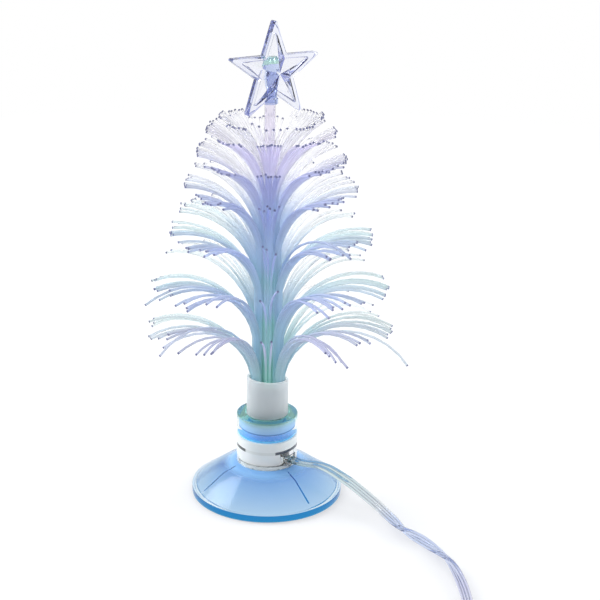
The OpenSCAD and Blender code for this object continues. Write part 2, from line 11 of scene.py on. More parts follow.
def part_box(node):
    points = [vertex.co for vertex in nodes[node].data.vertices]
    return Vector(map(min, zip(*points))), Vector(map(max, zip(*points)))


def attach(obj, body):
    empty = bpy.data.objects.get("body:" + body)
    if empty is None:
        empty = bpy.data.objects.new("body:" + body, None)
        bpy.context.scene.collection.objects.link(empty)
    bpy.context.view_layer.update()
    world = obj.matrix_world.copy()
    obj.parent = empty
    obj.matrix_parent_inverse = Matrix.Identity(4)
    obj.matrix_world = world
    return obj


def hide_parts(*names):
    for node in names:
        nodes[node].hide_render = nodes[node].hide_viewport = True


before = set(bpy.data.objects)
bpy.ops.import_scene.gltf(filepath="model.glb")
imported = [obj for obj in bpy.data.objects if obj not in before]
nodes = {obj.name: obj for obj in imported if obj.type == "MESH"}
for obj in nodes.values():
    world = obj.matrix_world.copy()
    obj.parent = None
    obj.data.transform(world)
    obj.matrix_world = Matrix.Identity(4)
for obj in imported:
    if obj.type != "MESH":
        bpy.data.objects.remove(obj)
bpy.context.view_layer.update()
scene = bpy.context.scene

MM = 0.001


def add_object(name, data):
    """A new object in the scene."""
    item = bpy.data.objects.new(name, data)
    scene.collection.objects.link(item)
    return item


# Camera: the photograph's place and angles, and its focal length in pixels of a 600 pixel frame
IMAGE_PIXELS = 600
FOCAL_PIXELS = 1517.5
SENSOR_MM = 36
CAMERA_PLACE = Vector((0, -552.3, 278.4)) * MM
CAMERA_YAW = math.radians(1.27)
CAMERA_PITCH = math.radians(19.68)
CAMERA_ROLL = math.radians(0.95)


def make_camera():
    ahead = Vector((
        math.sin(CAMERA_YAW) * math.cos(CAMERA_PITCH),
        math.cos(CAMERA_YAW) * math.cos(CAMERA_PITCH),
        -math.sin(CAMERA_PITCH)))
    level = Vector((math.cos(CAMERA_YAW), -math.sin(CAMERA_YAW), 0))
    upright = level.cross(ahead)
    right = math.cos(CAMERA_ROLL) * level + math.sin(CAMERA_ROLL) * upright
    up = math.cos(CAMERA_ROLL) * upright - math.sin(CAMERA_ROLL) * level
    lens = bpy.data.cameras.new("camera")
    lens.sensor_width = SENSOR_MM
    lens.lens = FOCAL_PIXELS / IMAGE_PIXELS * SENSOR_MM
    camera = add_object("camera", lens)
    turn = Matrix((right, up, -ahead)).transposed().to_4x4()
    camera.matrix_world = Matrix.Translation(CAMERA_PLACE) @ turn
    scene.camera = camera


# Materials: noises in waves per metre, with the span of their values that counts, and heights in mm
NOISE_SPAN = (0.3, 0.7)
CLEAR_WAVES = 120
CLEAR_ROUGH_WAVES = 480
TONE_WAVES = 150
GRAIN_WAVES = 900
GRAIN_HEIGHT = 0.01
GRAIN_ROUGH = (0.85, 1.15)
GRAIN_ROUGH_WAVES = 450
SPECK_WAVES = 420
SPECK_SPAN = (0.62, 0.65)
FROST_WAVES = 500
FROST_ROUGH = (0.45, 0.6)
FROST_CLEAR = 0.64
FROST_FADE = 1
DRAWN_WAVES = 600
DRAWN_STRETCH = (0.1, 1, 1)
DRAWN_ROUGH = (0.7, 1.3)
DRAWN_ROUGH_WAVES = 1500
DRAWN_ROUGH_STRETCH = (0.05, 1, 1)

# The sRGB curve: its straight foot, and then its power
SRGB_FOOT = 0.04045
SRGB_SLOPE = 12.92
SRGB_SHIFT = 0.055
SRGB_POWER = 2.4


def color(code):
    """Linear colour of a hex code."""
    parts = [int(code[i:i + 2], 16) / 255 for i in (1, 3, 5)]
    return [
        c / SRGB_SLOPE if c <= SRGB_FOOT else ((c + SRGB_SHIFT) / (1 + SRGB_SHIFT)) ** SRGB_POWER
        for c in parts]


def rgba(code):
    return (*color(code), 1)


def shader_of(material):
    return material.node_tree.nodes["Principled BSDF"]


def drive(material, socket, source):
    """Links a source to a socket of the material's shader."""
    material.node_tree.links.new(source, shader_of(material).inputs[socket])


def new_material(name, **values):
    """A material with one Principled shader, whose sockets take these values."""
    material = bpy.data.materials.new(name)
    material.use_nodes = True
    for socket, value in values.items():
        value = rgba(value) if isinstance(value, str) else value
        shader_of(material).inputs[socket.replace("_", " ")].default_value = value
    return material


def map_range(tree, source, low, high, start=0, end=1):
    """A value that goes from start to end while the source goes from low to high."""
    node = tree.nodes.new("ShaderNodeMapRange")
    for socket, value in zip(("From Min", "From Max", "To Min", "To Max"), (low, high, start, end)):
        node.inputs[socket].default_value = value
    tree.links.new(source, node.inputs["Value"])
    return node.outputs["Result"]


def color_ramp(tree, source, stops):
    """A colour by the source's value: stops are (value, hex code) from the least up."""
    node = tree.nodes.new("ShaderNodeValToRGB")
    elements = node.color_ramp.elements
    while len(elements) < len(stops):
        elements.new(0.5)
    for element, (place, code) in zip(elements, stops):
        element.position = place
        element.color = rgba(code)
    tree.links.new(source, node.inputs["Fac"])
    return node.outputs["Color"]


def combine(tree, operation, first, second):
    """A Math node of a source with a second source or a number."""
    node = tree.nodes.new("ShaderNodeMath")
    node.operation = operation
    tree.links.new(first, node.inputs[0])
    if isinstance(second, float):
        node.inputs[1].default_value = second
    else:
        tree.links.new(second, node.inputs[1])
    return node.outputs[0]


def length_of(tree, source):
    node = tree.nodes.new("ShaderNodeVectorMath")
    node.operation = "LENGTH"
    tree.links.new(source, node.inputs[0])
    return node.outputs["Value"]


def split_axes(tree, source):
    """The X, Y and Z of a vector, by name."""
    node = tree.nodes.new("ShaderNodeSeparateXYZ")
    tree.links.new(source, node.inputs["Vector"])
    return node.outputs


def object_place(tree):
    """The place of a point in the frame's own coordinates."""
    return tree.nodes.new("ShaderNodeTexCoord").outputs["Object"]


def noise(material, waves, stretch=(1, 1, 1)):
    """Noise in the frame's own coordinates, in waves per metre."""
    tree = material.node_tree
    mapping = tree.nodes.new("ShaderNodeMapping")
    mapping.inputs["Scale"].default_value = stretch
    texture = tree.nodes.new("ShaderNodeTexNoise")
    texture.inputs["Scale"].default_value = waves
    tree.links.new(object_place(tree), mapping.inputs["Vector"])
    tree.links.new(mapping.outputs["Vector"], texture.inputs["Vector"])
    return texture.outputs["Fac"]


def vary(material, socket, source, low, high):
    """Drives a socket between two values by a noise."""
    drive(material, socket, map_range(material.node_tree, source, *NOISE_SPAN, low, high))


def vary_color(material, source, low, high, span=NOISE_SPAN):
    """Drives the base colour between two colours by a noise."""
    drive(material, "Base Color", color_ramp(material.node_tree, source, list(zip(span, (low, high)))))


def bump(material, source, height):
    """Raises the surface by a noise; height is in mm."""
    tree = material.node_tree
    node = tree.nodes.new("ShaderNodeBump")
    node.inputs["Strength"].default_value = 1
    node.inputs["Distance"].default_value = height * MM
    tree.links.new(source, node.inputs["Height"])
    drive(material, "Normal", node.outputs["Normal"])


def absorb(material, tint, density):
    """Colours light by the way it goes inside; density is per metre."""
    tree = material.node_tree
    volume = tree.nodes.new("ShaderNodeVolumeAbsorption")
    volume.inputs["Color"].default_value = rgba(tint)
    volume.inputs["Density"].default_value = density
    tree.links.new(volume.outputs["Volume"], tree.nodes["Material Output"].inputs["Volume"])


def share_along(material, axis, low, high):
    """A value that goes from 0 to 1 between two places in mm, along X, Y or Z, or out from Z along R."""
    tree = material.node_tree
    if axis == "R":
        flat = tree.nodes.new("ShaderNodeVectorMath")
        flat.operation = "MULTIPLY"
        flat.inputs[1].default_value = (1, 1, 0)
        tree.links.new(object_place(tree), flat.inputs[0])
        place = length_of(tree, flat.outputs["Vector"])
    else:
        place = split_axes(tree, object_place(tree))[axis]
    return map_range(tree, place, low * MM, high * MM)


def paint(material, axis, stops):
    """Base colour along an axis: stops are (mm, hex code) from the least up."""
    low, high = stops[0][0], stops[-1][0]
    shares = [((place - low) / (high - low), code) for place, code in stops]
    share = share_along(material, axis, low, high)
    drive(material, "Base Color", color_ramp(material.node_tree, share, shares))


def clear_outwards(material, low, high):
    """Solid colour near the axis, which turns clear between two distances from it in mm."""
    drive(material, "Transmission Weight", share_along(material, "R", low, high))


def clear_material(name, tint="#FFFFFF", inside=None, ior=1.49, rough=(0.0, 0.04), wave=0.02):
    """Clear moulded plastic with faint waves. What is inside it is a tint and its density per metre."""
    material = new_material(name, Base_Color=tint, Transmission_Weight=1.0, IOR=ior)
    vary(material, "Roughness", noise(material, CLEAR_ROUGH_WAVES), *rough)
    bump(material, noise(material, CLEAR_WAVES), wave)
    if inside:
        absorb(material, *inside)
    return material


def grained_material(name, tint, roughness):
    """Moulded plastic with a fine grain."""
    material = new_material(name, Base_Color=tint)
    patches = noise(material, GRAIN_ROUGH_WAVES)
    vary(material, "Roughness", patches, *(roughness * share for share in GRAIN_ROUGH))
    bump(material, noise(material, GRAIN_WAVES), GRAIN_HEIGHT)
    return material


def plastic_material(name, low, high, roughness):
    """Grained plastic of uneven colour."""
    material = grained_material(name, high, roughness)
    vary_color(material, noise(material, TONE_WAVES), low, high)
    return material


def frosted_material(name, stops, foot):
    """Frosted plastic that lets some light through, apart from its foot."""
    material = new_material(name, IOR=1.3, Sheen_Weight=1.0, Sheen_Roughness=0.4)
    paint(material, "Z", stops)
    above_foot = share_along(material, "Z", foot, foot + FROST_FADE)
    drive(material, "Transmission Weight", combine(material.node_tree, "MULTIPLY", above_foot, FROST_CLEAR))
    vary(material, "Roughness", noise(material, FROST_WAVES), *FROST_ROUGH)
    bump(material, noise(material, GRAIN_WAVES), GRAIN_HEIGHT)
    return material


def metal_material(name, low, high, roughness):
    """Metal with fine drawn lines."""
    material = new_material(name, Base_Color=high, Metallic=1.0)
    vary_color(material, noise(material, DRAWN_WAVES, DRAWN_STRETCH), low, high)
    lines = noise(material, DRAWN_ROUGH_WAVES, DRAWN_ROUGH_STRETCH)
    vary(material, "Roughness", lines, *(roughness * share for share in DRAWN_ROUGH))
    return material


def fiber_material():
    """Clear fibre whose tint and clearness are painted on the strands; the tint is painted light and shade.
    """
    material = new_material("fiber", IOR=1.42, Roughness=0.08)
    painted = [("tint", "Color", "Base Color"), ("clear", "Fac", "Transmission Weight")]
    for attribute, output, socket in painted:
        node = material.node_tree.nodes.new("ShaderNodeAttribute")
        node.attribute_name = attribute
        drive(material, socket, node.outputs[output])
    return material


# Shapes: what counts as no distance, in metres, and the gap or grip between pieces that fit, in mm
TINY = 1e-6
FIT = 0.05


def new_piece(name, points, faces, body, slot, materials, sharp=35):
    """A new piece that rides on a body, smooth up to an angle."""
    mesh = bpy.data.meshes.new(name)
    mesh.from_pydata(points, [], faces)
    mesh.shade_smooth()
    mesh.set_sharp_from_angle(angle=math.radians(sharp))
    for material in materials:
        mesh.materials.append(material)
    piece = add_object(name, mesh)
    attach(piece, body)
    return piece


def rounded(corners, steps=4):
    """An outline of (r, z, radius) corners, with each corner rounded by its radius."""
    outline = []
    for i, (r, z, radius) in enumerate(corners):
        here = Vector((r, z))
        before = Vector(corners[i - 1][:2]) - here
        after = Vector(corners[(i + 1) % len(corners)][:2]) - here
        if radius == 0:
            outline.append(here)
            continue
        reach = radius / math.tan(before.angle(after) / 2)
        start = here + before.normalized() * reach
        end = here + after.normalized() * reach
        for k in range(steps + 1):
            s = k / steps
            outline.append(start * (1 - s) ** 2 + here * 2 * s * (1 - s) + end * s * s)
    return outline


def lathe(outline, count=128):
    """Points and faces of a closed outline of (r, z) turned round Z. Points on the axis are poles."""
    points = []
    rings = []
    for r, z in outline:
        if r < TINY:
            rings.append([len(points)] * count)
            points.append((0, 0, z))
            continue
        rings.append(range(len(points), len(points) + count))
        for k in range(count):
            a = math.tau * k / count
            points.append((r * math.cos(a), r * math.sin(a), z))
    faces = []
    for low, high in zip(rings, rings[1:] + rings[:1]):
        for k in range(count):
            m = (k + 1) % count
            face = list(dict.fromkeys((low[k], low[m], high[m], high[k])))
            if len(face) > 2:
                faces.append(face)
    return points, faces


def cut(piece, cutter_points, cutter_faces):
    """Cuts a closed shape out of a piece."""
    mesh = bpy.data.meshes.new("cutter")
    mesh.from_pydata(cutter_points, [], cutter_faces)
    cutter = add_object("cutter", mesh)
    modifier = piece.modifiers.new("cut", "BOOLEAN")
    modifier.operation = "DIFFERENCE"
    modifier.solver = "EXACT"
    modifier.object = cutter
    graph = bpy.context.evaluated_depsgraph_get()
    result = bpy.data.meshes.new_from_object(piece.evaluated_get(graph))
    piece.modifiers.clear()
    piece.data = result
    bpy.data.objects.remove(cutter)


def block(low, high, turn):
    """Points and faces of a box between two corners, turned round Z."""
    spin = Matrix.Rotation(turn, 3, "Z")
    points = [spin @ Vector(corner) for corner in itertools.product(*zip(low, high))]
    faces = [(0, 1, 3, 2), (4, 6, 7, 5), (0, 4, 5, 1), (2, 3, 7, 6), (0, 2, 6, 4), (1, 5, 7, 3)]
    return points, faces


def soften(piece, width, segments, angle):
    """Rounds a piece's edges that are sharper than an angle; width is in mm."""
    edges = piece.modifiers.new("edges", "BEVEL")
    edges.width = width * MM
    edges.segments = segments
    edges.limit_method = "ANGLE"
    edges.angle_limit = math.radians(angle)


# Lead: a flat twin lead and the housing's wall that it leaves, in metres
LEAD_WIDTH = 4 * MM
LEAD_THICK = 2 * MM
LEAD_WEB = math.radians(20)
WIRE_R = 0.1 * MM
WIRE_SIDES = 8
HOUSING_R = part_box("housing")[1].x

# Start of the lead: its height, direction and distances from the axis, and the lead's tints by depth, in mm,
# which are painted reflections: mint grey near the housing, blue and lilac further out
EXIT_HEIGHT = sum(corner.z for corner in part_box("cord_bush")) / 2 / MM
EXIT_TURN = math.radians(-38)
EXIT_REACH = [7, 10, 13, 16]
LEAD_REFLECTION_TINTS = [
    (-100, "#F2F3FB"), (-82, "#E8E8FA"), (-56, "#DAE4F9"), (-33, "#DCE6F9"), (-24, "#EAEEEC"),
    (-11, "#DEEEEA")]

# Route of the lead over the cup and the floor, as [x, y, z, roll], in mm and degrees
FLOOR_ROUTE = [
    [15.8, -11, 16.3, 0], [19.2, -11, 15.9, -8], [22.5, -10.7, 14.8, -24], [25.6, -10.4, 13.1, -40],
    [28.6, -10.4, 11.1, -50], [31.9, -11.4, 9.2, -50], [35.5, -13.8, 7.3, -48], [39.2, -17.4, 5.6, -46],
    [42.6, -21.7, 4.4, -44], [46, -27.3, 3.5, -36], [49.2, -33.5, 2.9, -8], [52, -39.3, 2.6, 42],
    [55, -43.2, 2.5, 85], [58.4, -47.2, 2.4, 130], [62.1, -53, 2.4, 176], [65.9, -60.2, 2.4, 228],
    [67.9, -66.5, 2.4, 274], [69.1, -73, 2.3, 304], [69.9, -80, 2.3, 324], [70.3, -88, 2.3, 340],
    [70.3, -98, 2, 354], [70.3, -108, 1.7, 360], [70.3, -118, 1.7, 360], [70.3, -126, 1.7, 360]]
ROUTE_STEPS = 6

# Coil: it winds in below, climbs a layer, and winds out above to the plug, in mm and degrees
COIL_R = 15.5
COIL_PITCH = 4.6
COIL_LAYER = 2.5
COIL_TURNS = 3
COIL_CLIMB = 180
COIL_SHORT = 90
COIL_LEAD = 4
COIL_TAIL = 17
COIL_POINTS = 48


def smooth_route(points, count):
    """Smooth cubic curve through points, with count steps in each stretch."""
    curve = []
    last = len(points) - 1
    for i in range(last):
        a, b, c, d = (Vector(points[max(0, min(last, i + k))]) for k in (-1, 0, 1, 2))
        for k in range(count):
            s = k / count
            curve.append(
                b + (c - a) * s / 2 + (2 * a - 5 * b + 4 * c - d) * s ** 2 / 2
                + (3 * b - a - 3 * c + d) * s ** 3 / 2)
    curve.append(Vector(points[last]))
    return curve


def coil_route():
    """Points of the coil and of its straight end, as [x, y, z, roll]."""
    start = FLOOR_ROUTE[-1]
    out_r = COIL_R + COIL_TURNS * COIL_PITCH
    middle = (start[0] - out_r, start[1] - COIL_LEAD)
    lower = COIL_TURNS * 360
    turning = lower + COIL_CLIMB / 2
    total = lower + COIL_CLIMB + lower - COIL_SHORT
    points = []
    for k in range(1, round(total / 360 * COIL_POINTS) + 1):
        turned = k * 360 / COIL_POINTS
        if turned < turning:
            r = out_r - turned / 360 * COIL_PITCH
        else:
            r = COIL_R + (turned - lower - COIL_CLIMB) / 360 * COIL_PITCH
        s = max(0.0, min(1.0, (turned - lower) / COIL_CLIMB))
        z = start[2] + COIL_LAYER * s * s * (3 - 2 * s)
        a = math.radians(turned)
        points.append(Vector((middle[0] + r * math.cos(a), middle[1] - r * math.sin(a), z, 0)))
    end = points[-1]
    points.append(Vector((middle[0] - COIL_TAIL + COIL_LEAD, end.y, end.z, 0)))
    points.append(Vector((middle[0] - COIL_TAIL, end.y, end.z, 0)))
    return points


def lead_route():
    """The whole lead in metres: places, and the roll at each."""
    straight = [
        [r * math.cos(EXIT_TURN), r * math.sin(EXIT_TURN), EXIT_HEIGHT, 0] for r in EXIT_REACH]
    route = smooth_route(straight + FLOOR_ROUTE, ROUTE_STEPS) + coil_route()
    return [Vector(p[:3]) * MM for p in route], [math.radians(p[3]) for p in route]


def sweep(places, rolls, outline):
    """Points and faces of an outline swept along places, with closed ends."""
    points = []
    count = len(outline)
    last = len(places) - 1
    for i, place in enumerate(places):
        ahead = (places[min(i + 1, last)] - places[max(i - 1, 0)]).normalized()
        side = ahead.cross(Vector((0, 0, 1))).normalized()
        up = side.cross(ahead)
        c, s = math.cos(rolls[i]), math.sin(rolls[i])
        points += [place + side * (x * c - y * s) + up * (x * s + y * c) for x, y in outline]
    faces = [
        (i * count + k, (i + 1) * count + k, (i + 1) * count + (k + 1) % count, i * count + (k + 1) % count)
        for i in range(last) for k in range(count)]
    faces += [tuple(range(count)), tuple(reversed(range(last * count, (last + 1) * count)))]
    return points, faces


def twin_outline(steps=10):
    """Outline of two round wires side by side, joined by a web."""
    r = LEAD_THICK / 2
    centre = LEAD_WIDTH / 2 - r
    half = [
        (centre + r * math.cos(a), r * math.sin(a))
        for a in (-math.pi + LEAD_WEB + (math.tau - 2 * LEAD_WEB) * k / steps for k in range(steps + 1))]
    return half + [(-x, -y) for x, y in half]


def wire_outline(middle):
    """Outline of a wire round a point of the lead's width."""
    turns = [math.tau * k / WIRE_SIDES for k in range(WIRE_SIDES)]
    return [(middle + WIRE_R * math.cos(a), WIRE_R * math.sin(a)) for a in turns]


def make_lead(clear, wire):
    """Clear lead with two wires inside, from the housing to the plug."""
    places, rolls = lead_route()
    lead = new_piece("lead_insulation", *sweep(places, rolls, twin_outline()), "base", "clear_lead", [clear])
    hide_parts("cord", "cord_coil")
    offset = LEAD_WIDTH / 2 - LEAD_THICK / 2
    for name, middle in (("lead_wire_1", -offset), ("lead_wire_2", offset)):
        points, faces = sweep(places, rolls, wire_outline(middle))
        new_piece(name, points, faces, "base", "tinned_steel", [wire])


# Fibres: the sizes of each tier from the bottom up, in mm and degrees
TIER_REACH = [48, 45.5, 39, 33, 28.5, 24.5, 19.6]
TIER_RISE = [20.2, 38, 57.5, 75.5, 87.2, 97.5, 103.8]
TIER_SLOPE = [-30, -22, -12, 0, 10, 20, 32]
TIER_COUNT = [8, 9, 10, 10, 10, 9, 7]
TIER_LOOSE = [1.0, 0.8, 0.55, 0.4, 0.3, 0.25, 0.15]
LEAVE_SLOPE = math.radians(80)
LOOSE_SLOPE = math.radians(10)
LOOSE_LENGTH = 0.06
LOOSE_TURN = 0.3
LOOSE_DRIFT = 0.12
LENGTH_DRAW = (-0.3, 1)
SLOPE_DRAW = (-0.6, 1)
FIBER_D = 0.95
LAYER_STEP = 0.7
BUNDLE_R = 6.9
FIBER_SIDES = 6
FIBER_POINTS = 11
FIBER_DIP = 6
COLUMN_STEP = 6
TIP_LENGTH = 0.35
SLEEVE_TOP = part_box("sleeve")[1].z / MM
SEED = 12

# Tufts: turn in degrees, shares of a tier's bend and strands, and each tier's lift in mm, or None for no tuft
TUFTS = [
    (0, 1.02, 1.0, [0, 0, 0, 0, 0, 0, 0]),
    (45, 1.0, 1.0, [2, 2, 2, 2, 2, 1, -1]),
    (90, 0.95, 0.8, [1, 1, 1, 1, 1, 1, None]),
    (135, 1.02, 1.0, [None, 4, 6, 4, 3, 1, -2]),
    (156, 0.94, 0.9, [None, None, 6, None, None, None, None]),
    (180, 0.98, 1.0, [-1, 0, 1, 2, 3, 1, 0]),
    (225, 0.94, 1.0, [0, 0, 0, 0, 0, 0, -1]),
    (315, 0.96, 1.0, [0, 0, 0, 0, 0, 0, -1])]
TUFT_SPREAD = math.radians(19)
TUFT_STRAY = math.radians(6)

# Front of each tier: a short tuft that stands close to the bundle, in mm and degrees
FRONT_TURN = math.radians(270)
FRONT_BEND = 0.5
FRONT_COUNT = [2, 2, 3, 6, 8, 9, 6]
FRONT_LIFT = [3, 3, 3.5, 3, 4.7, 6.8, 8]
FRONT_STRAY = [3, 3, 2, 0.8, 0.5, 0.4, 1.2]
FRONT_SPREAD = [12, 12, 16, 18, 23, 28, 62]
FRONT_LIGHT = [1.12, 1.12, 1.1, 1.05, 1.0, 1.0, 1.0]

# Single strands that stray from the tufts: tier, turn in degrees, lift in mm, and share of the bend
STRAYS = [(0, -17, -1, 1.22), (0, 214, 3, 1.1), (0, -62, 1, 1.12), (2, -48, 4, 1.16), (1, 206, 2, 1.14)]

# Tints of the fibres, painted light and shade on clear strands: in the bundle by height in mm, with a bluer
# painted shade on the front flanks of the outer tiers, and at the ends by tier
# The bundle is darker low down and near white at the top: painted shade under the tiers
CORE_TINTS = [
    (48, "#80B4AA"), (56, "#84B8AE"), (64, "#9CC2C6"), (72, "#98C4C0"), (80, "#AEC4D8"), (90, "#A0C4CA"),
    (98, "#AEC2DA"), (112, "#B0C4DC"), (122, "#C8D2E8"), (132, "#EEEEF6"), (150, "#F8F8FC")]
FRONT_SHADE_TINT = color("#A6C2DF")
FRONT_SHADE_SHARE = [0.85, 0.95, 0.75, 0.25, 0, 0, 0]
# Ends of the strands: the darker lilac grey in front is painted shade, and the pale ends behind are painted
# light
FRONT_TINTS = ["#BCBCD6", "#B2BADC", "#B0BADE", "#AEB8DC", "#BABEE0", "#E0DCF1", "#FAFAFD"]
SIDE_TINTS = ["#E6F0F0", "#E2F0F0", "#E6F2F2", "#F0F3F8", "#F5F5FA", "#F7F6FB", "#FCFCFD"]
BACK_TINT = color("#FCFCFD")
STRAND_LIGHT = (0.96, 1.12)
CORE_COLORS = [(height, color(code)) for height, code in CORE_TINTS]

# Clearness of the fibres, in the same order, and how soon a strand takes its end's tint and clearness
CORE_CLEARS = [(48, [0.2]), (118, [0.25]), (136, [0.75])]
FRONT_CLEAR = [0.35, 0.35, 0.35, 0.35, 0.4, 0.5, 0.9]
BACK_CLEAR = 0.94
TINT_RATE = 1.6
CLEAR_RATE = 2


def mix(a, b, share):
    share = max(0.0, min(1.0, share))
    return [p + (q - p) * share for p, q in zip(a, b)]


def at_height(stops, height):
    """The value of stops, which are (mm, list of numbers) from the lowest up, at a height."""
    value = stops[0][1]
    for (low, a), (high, b) in zip(stops, stops[1:]):
        if height > low:
            value = mix(a, b, (height - low) / (high - low))
    return value


def fiber_look(tier, height, along, turn, light):
    """Tint and clearness of a fibre: lilac grey in front as painted shade, mint at the sides, and pale and
    clear behind as painted light.
    """
    front = (1 - math.sin(turn)) / 2
    behind = mix(BACK_TINT, color(SIDE_TINTS[tier]), front * 2)
    end = mix(behind, color(FRONT_TINTS[tier]), front * 2 - 1)
    end_clear = mix([BACK_CLEAR], [FRONT_CLEAR[tier]], front)
    # The front flanks of the outer tiers' bundle take a bluer painted shade
    front_shade = FRONT_SHADE_SHARE[tier] * front * abs(math.cos(turn))
    core = mix(at_height(CORE_COLORS, height), FRONT_SHADE_TINT, front_shade)
    tint = mix(core, end, along * TINT_RATE)
    clear = mix(at_height(CORE_CLEARS, height), end_clear, along * CLEAR_RATE)
    return (*(min(1.0, part * light) for part in tint), 1), clear[0]


def strand_path(tier, turn, lift, share, chance):
    """One strand's places in mm, each with its share of the way from the bundle to the tip."""
    loose = TIER_LOOSE[tier]
    r_mid = BUNDLE_R - tier * LAYER_STEP - LAYER_STEP / 2
    slope = math.radians(TIER_SLOPE[tier])
    bend_r = (TIER_REACH[tier] - r_mid) / (math.sin(LEAVE_SLOPE) - math.sin(slope))
    leave_z = SLEEVE_TOP + TIER_RISE[tier] + lift - bend_r * (math.cos(slope) - math.cos(LEAVE_SLOPE))
    bend = (LEAVE_SLOPE - slope) * share
    length = bend_r * bend * (1 - chance.uniform(*LENGTH_DRAW) * loose * LOOSE_LENGTH)
    tip_slope = LEAVE_SLOPE - bend + chance.uniform(*SLOPE_DRAW) * loose * LOOSE_SLOPE
    own_bend = length / (LEAVE_SLOPE - tip_slope)
    drift = chance.uniform(-1, 1) * loose * LOOSE_DRIFT
    low_z = SLEEVE_TOP - FIBER_DIP
    count = math.ceil((leave_z - low_z) / COLUMN_STEP)
    path = [(r_mid, low_z + (leave_z - low_z) * k / count, 0.0) for k in range(count + 1)]
    steps = [k / FIBER_POINTS for k in range(1, FIBER_POINTS + 1)]
    steps.insert(-1, 1 - TIP_LENGTH / length)
    for s in steps:
        a = LEAVE_SLOPE + (tip_slope - LEAVE_SLOPE) * s
        r = r_mid + own_bend * (math.sin(LEAVE_SLOPE) - math.sin(a))
        z = leave_z + own_bend * (math.cos(a) - math.cos(LEAVE_SLOPE))
        path.append((r, z, s))
    places = []
    for r, z, s in path:
        a = turn + drift * s * s
        places.append(Vector((r * math.cos(a), r * math.sin(a), z)))
    return places, [s for r, z, s in path]


def spread_strands(turn, spread, count, chance):
    """Turns of a tuft's strands, side by side."""
    across = [(2 * i + 1 + chance.uniform(-1, 1) * LOOSE_TURN) / count - 1 for i in range(count)]
    return [turn + share * spread for share in across]


def tier_strands(tier, chance):
    """Turn, lift, share of the bend and lightness of each strand of a tier, tuft by tuft."""
    strands = []
    for turn, bend, fullness, lifts in TUFTS:
        if lifts[tier] is None:
            continue
        middle = math.radians(turn) + chance.uniform(-1, 1) * TUFT_STRAY
        turns = spread_strands(middle, TUFT_SPREAD, round(TIER_COUNT[tier] * fullness), chance)
        strands += [(a, lifts[tier], bend, 1.0) for a in turns]
    for a in spread_strands(FRONT_TURN, math.radians(FRONT_SPREAD[tier]), FRONT_COUNT[tier], chance):
        lift = FRONT_LIFT[tier] + chance.uniform(-1, 1) * FRONT_STRAY[tier]
        strands.append((a, lift, FRONT_BEND, FRONT_LIGHT[tier]))
    for stray_tier, turn, lift, bend in STRAYS:
        if stray_tier == tier:
            strands.append((math.radians(turn), lift, bend, 1.0))
    return strands


def strand_rings(places, turn):
    """Points of the rings round a strand's places, in metres."""
    side = Vector((-math.sin(turn), math.cos(turn), 0))
    last = len(places) - 1
    points = []
    for k, place in enumerate(places):
        ahead = (places[min(k + 1, last)] - places[max(k - 1, 0)]).normalized()
        up = ahead.cross(side).normalized()
        for m in range(FIBER_SIDES):
            a = math.tau * m / FIBER_SIDES
            points.append((place + (side * math.cos(a) + up * math.sin(a)) * FIBER_D / 2) * MM)
    return points


def strand_faces(first, last):
    """Faces of a strand whose rings, up to the last one, start at a point: its side, its tip and its foot."""
    faces = []
    for k in range(last):
        low, high = first + k * FIBER_SIDES, first + (k + 1) * FIBER_SIDES
        for m in range(FIBER_SIDES):
            n = (m + 1) % FIBER_SIDES
            faces.append((low + m, low + n, high + n, high + m))
    faces.append(tuple(first + last * FIBER_SIDES + m for m in range(FIBER_SIDES)))
    faces.append(tuple(first + m for m in reversed(range(FIBER_SIDES))))
    return faces


def make_tier(tier, fiber, tip):
    """One tier of the tree: strands that rise in the bundle, then curl outwards, with a dot at each tip."""
    chance = random.Random(SEED + tier)
    points, faces, tints, clears, tip_faces = [], [], [], [], []
    for turn, lift, share, gain in tier_strands(tier, chance):
        light = chance.uniform(*STRAND_LIGHT) * gain
        places, shares = strand_path(tier, turn, lift, share, chance)
        for place, along in zip(places, shares):
            tint, clear = fiber_look(tier, place.z, along, turn, light)
            tints += tint * FIBER_SIDES
            clears += [clear] * FIBER_SIDES
        faces += strand_faces(len(points), len(places) - 1)
        foot = len(faces) - 1
        tip_faces += range(foot - FIBER_SIDES - 1, foot)
        points += strand_rings(places, turn)
    piece = new_piece(f"fibers_{tier + 1}", points, faces, "tree", "fiber", [fiber, tip], sharp=60)
    for face in tip_faces:
        piece.data.polygons[face].material_index = 1
    piece.data.attributes.new("tint", "FLOAT_COLOR", "POINT").data.foreach_set("color", tints)
    piece.data.attributes.new("clear", "FLOAT", "POINT").data.foreach_set("value", clears)
    piece.visible_shadow = False
    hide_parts(f"fiber_tier_{tier + 1}")


# Suction cup, in mm and degrees: solid near the axis and clear further out, with three grooves down its dome
CUP_SIDES = 480
CUP_RIM_H = 3.2
CUP_RIM_W = 2.4
CUP_BEVEL = 0.6
CUP_WALL = 1.8
CUP_SEAT = 0.5
CUP_CAVE = 2
CUP_CAVE_EDGE = 1
CUP_DOME_R = 19
CUP_DOME_Z = 10.7
CUP_CLEAR = (14.5, 17.5)
CUP_TOP_FACING = 0.3
CUP_CLEARANCE = 0.1
CUP_FINE = 0.2
STUD_NECK_R = 2.6
STUD_HEAD_R = 4.2
STUD_EDGES = (0.3, 0.4)
CUP_GROOVES = [-53.5, 76.5, 206.5]
GROOVE_DEPTH = 0.35
GROOVE_ENDS = (1.2, 2.5)
# Wall and top are darker near the housing and lighter towards the rim: a painted reflection gradient
CUP_TINTS = [(13, "#94BCEE"), (19, "#A0C6F0"), (29, "#B8D6F3")]
CUP_TOP_TINTS = [(13, "#7AAEE4"), (16, "#8EBEEA"), (19, "#B0D8F3"), (29, "#C8E8F7")]

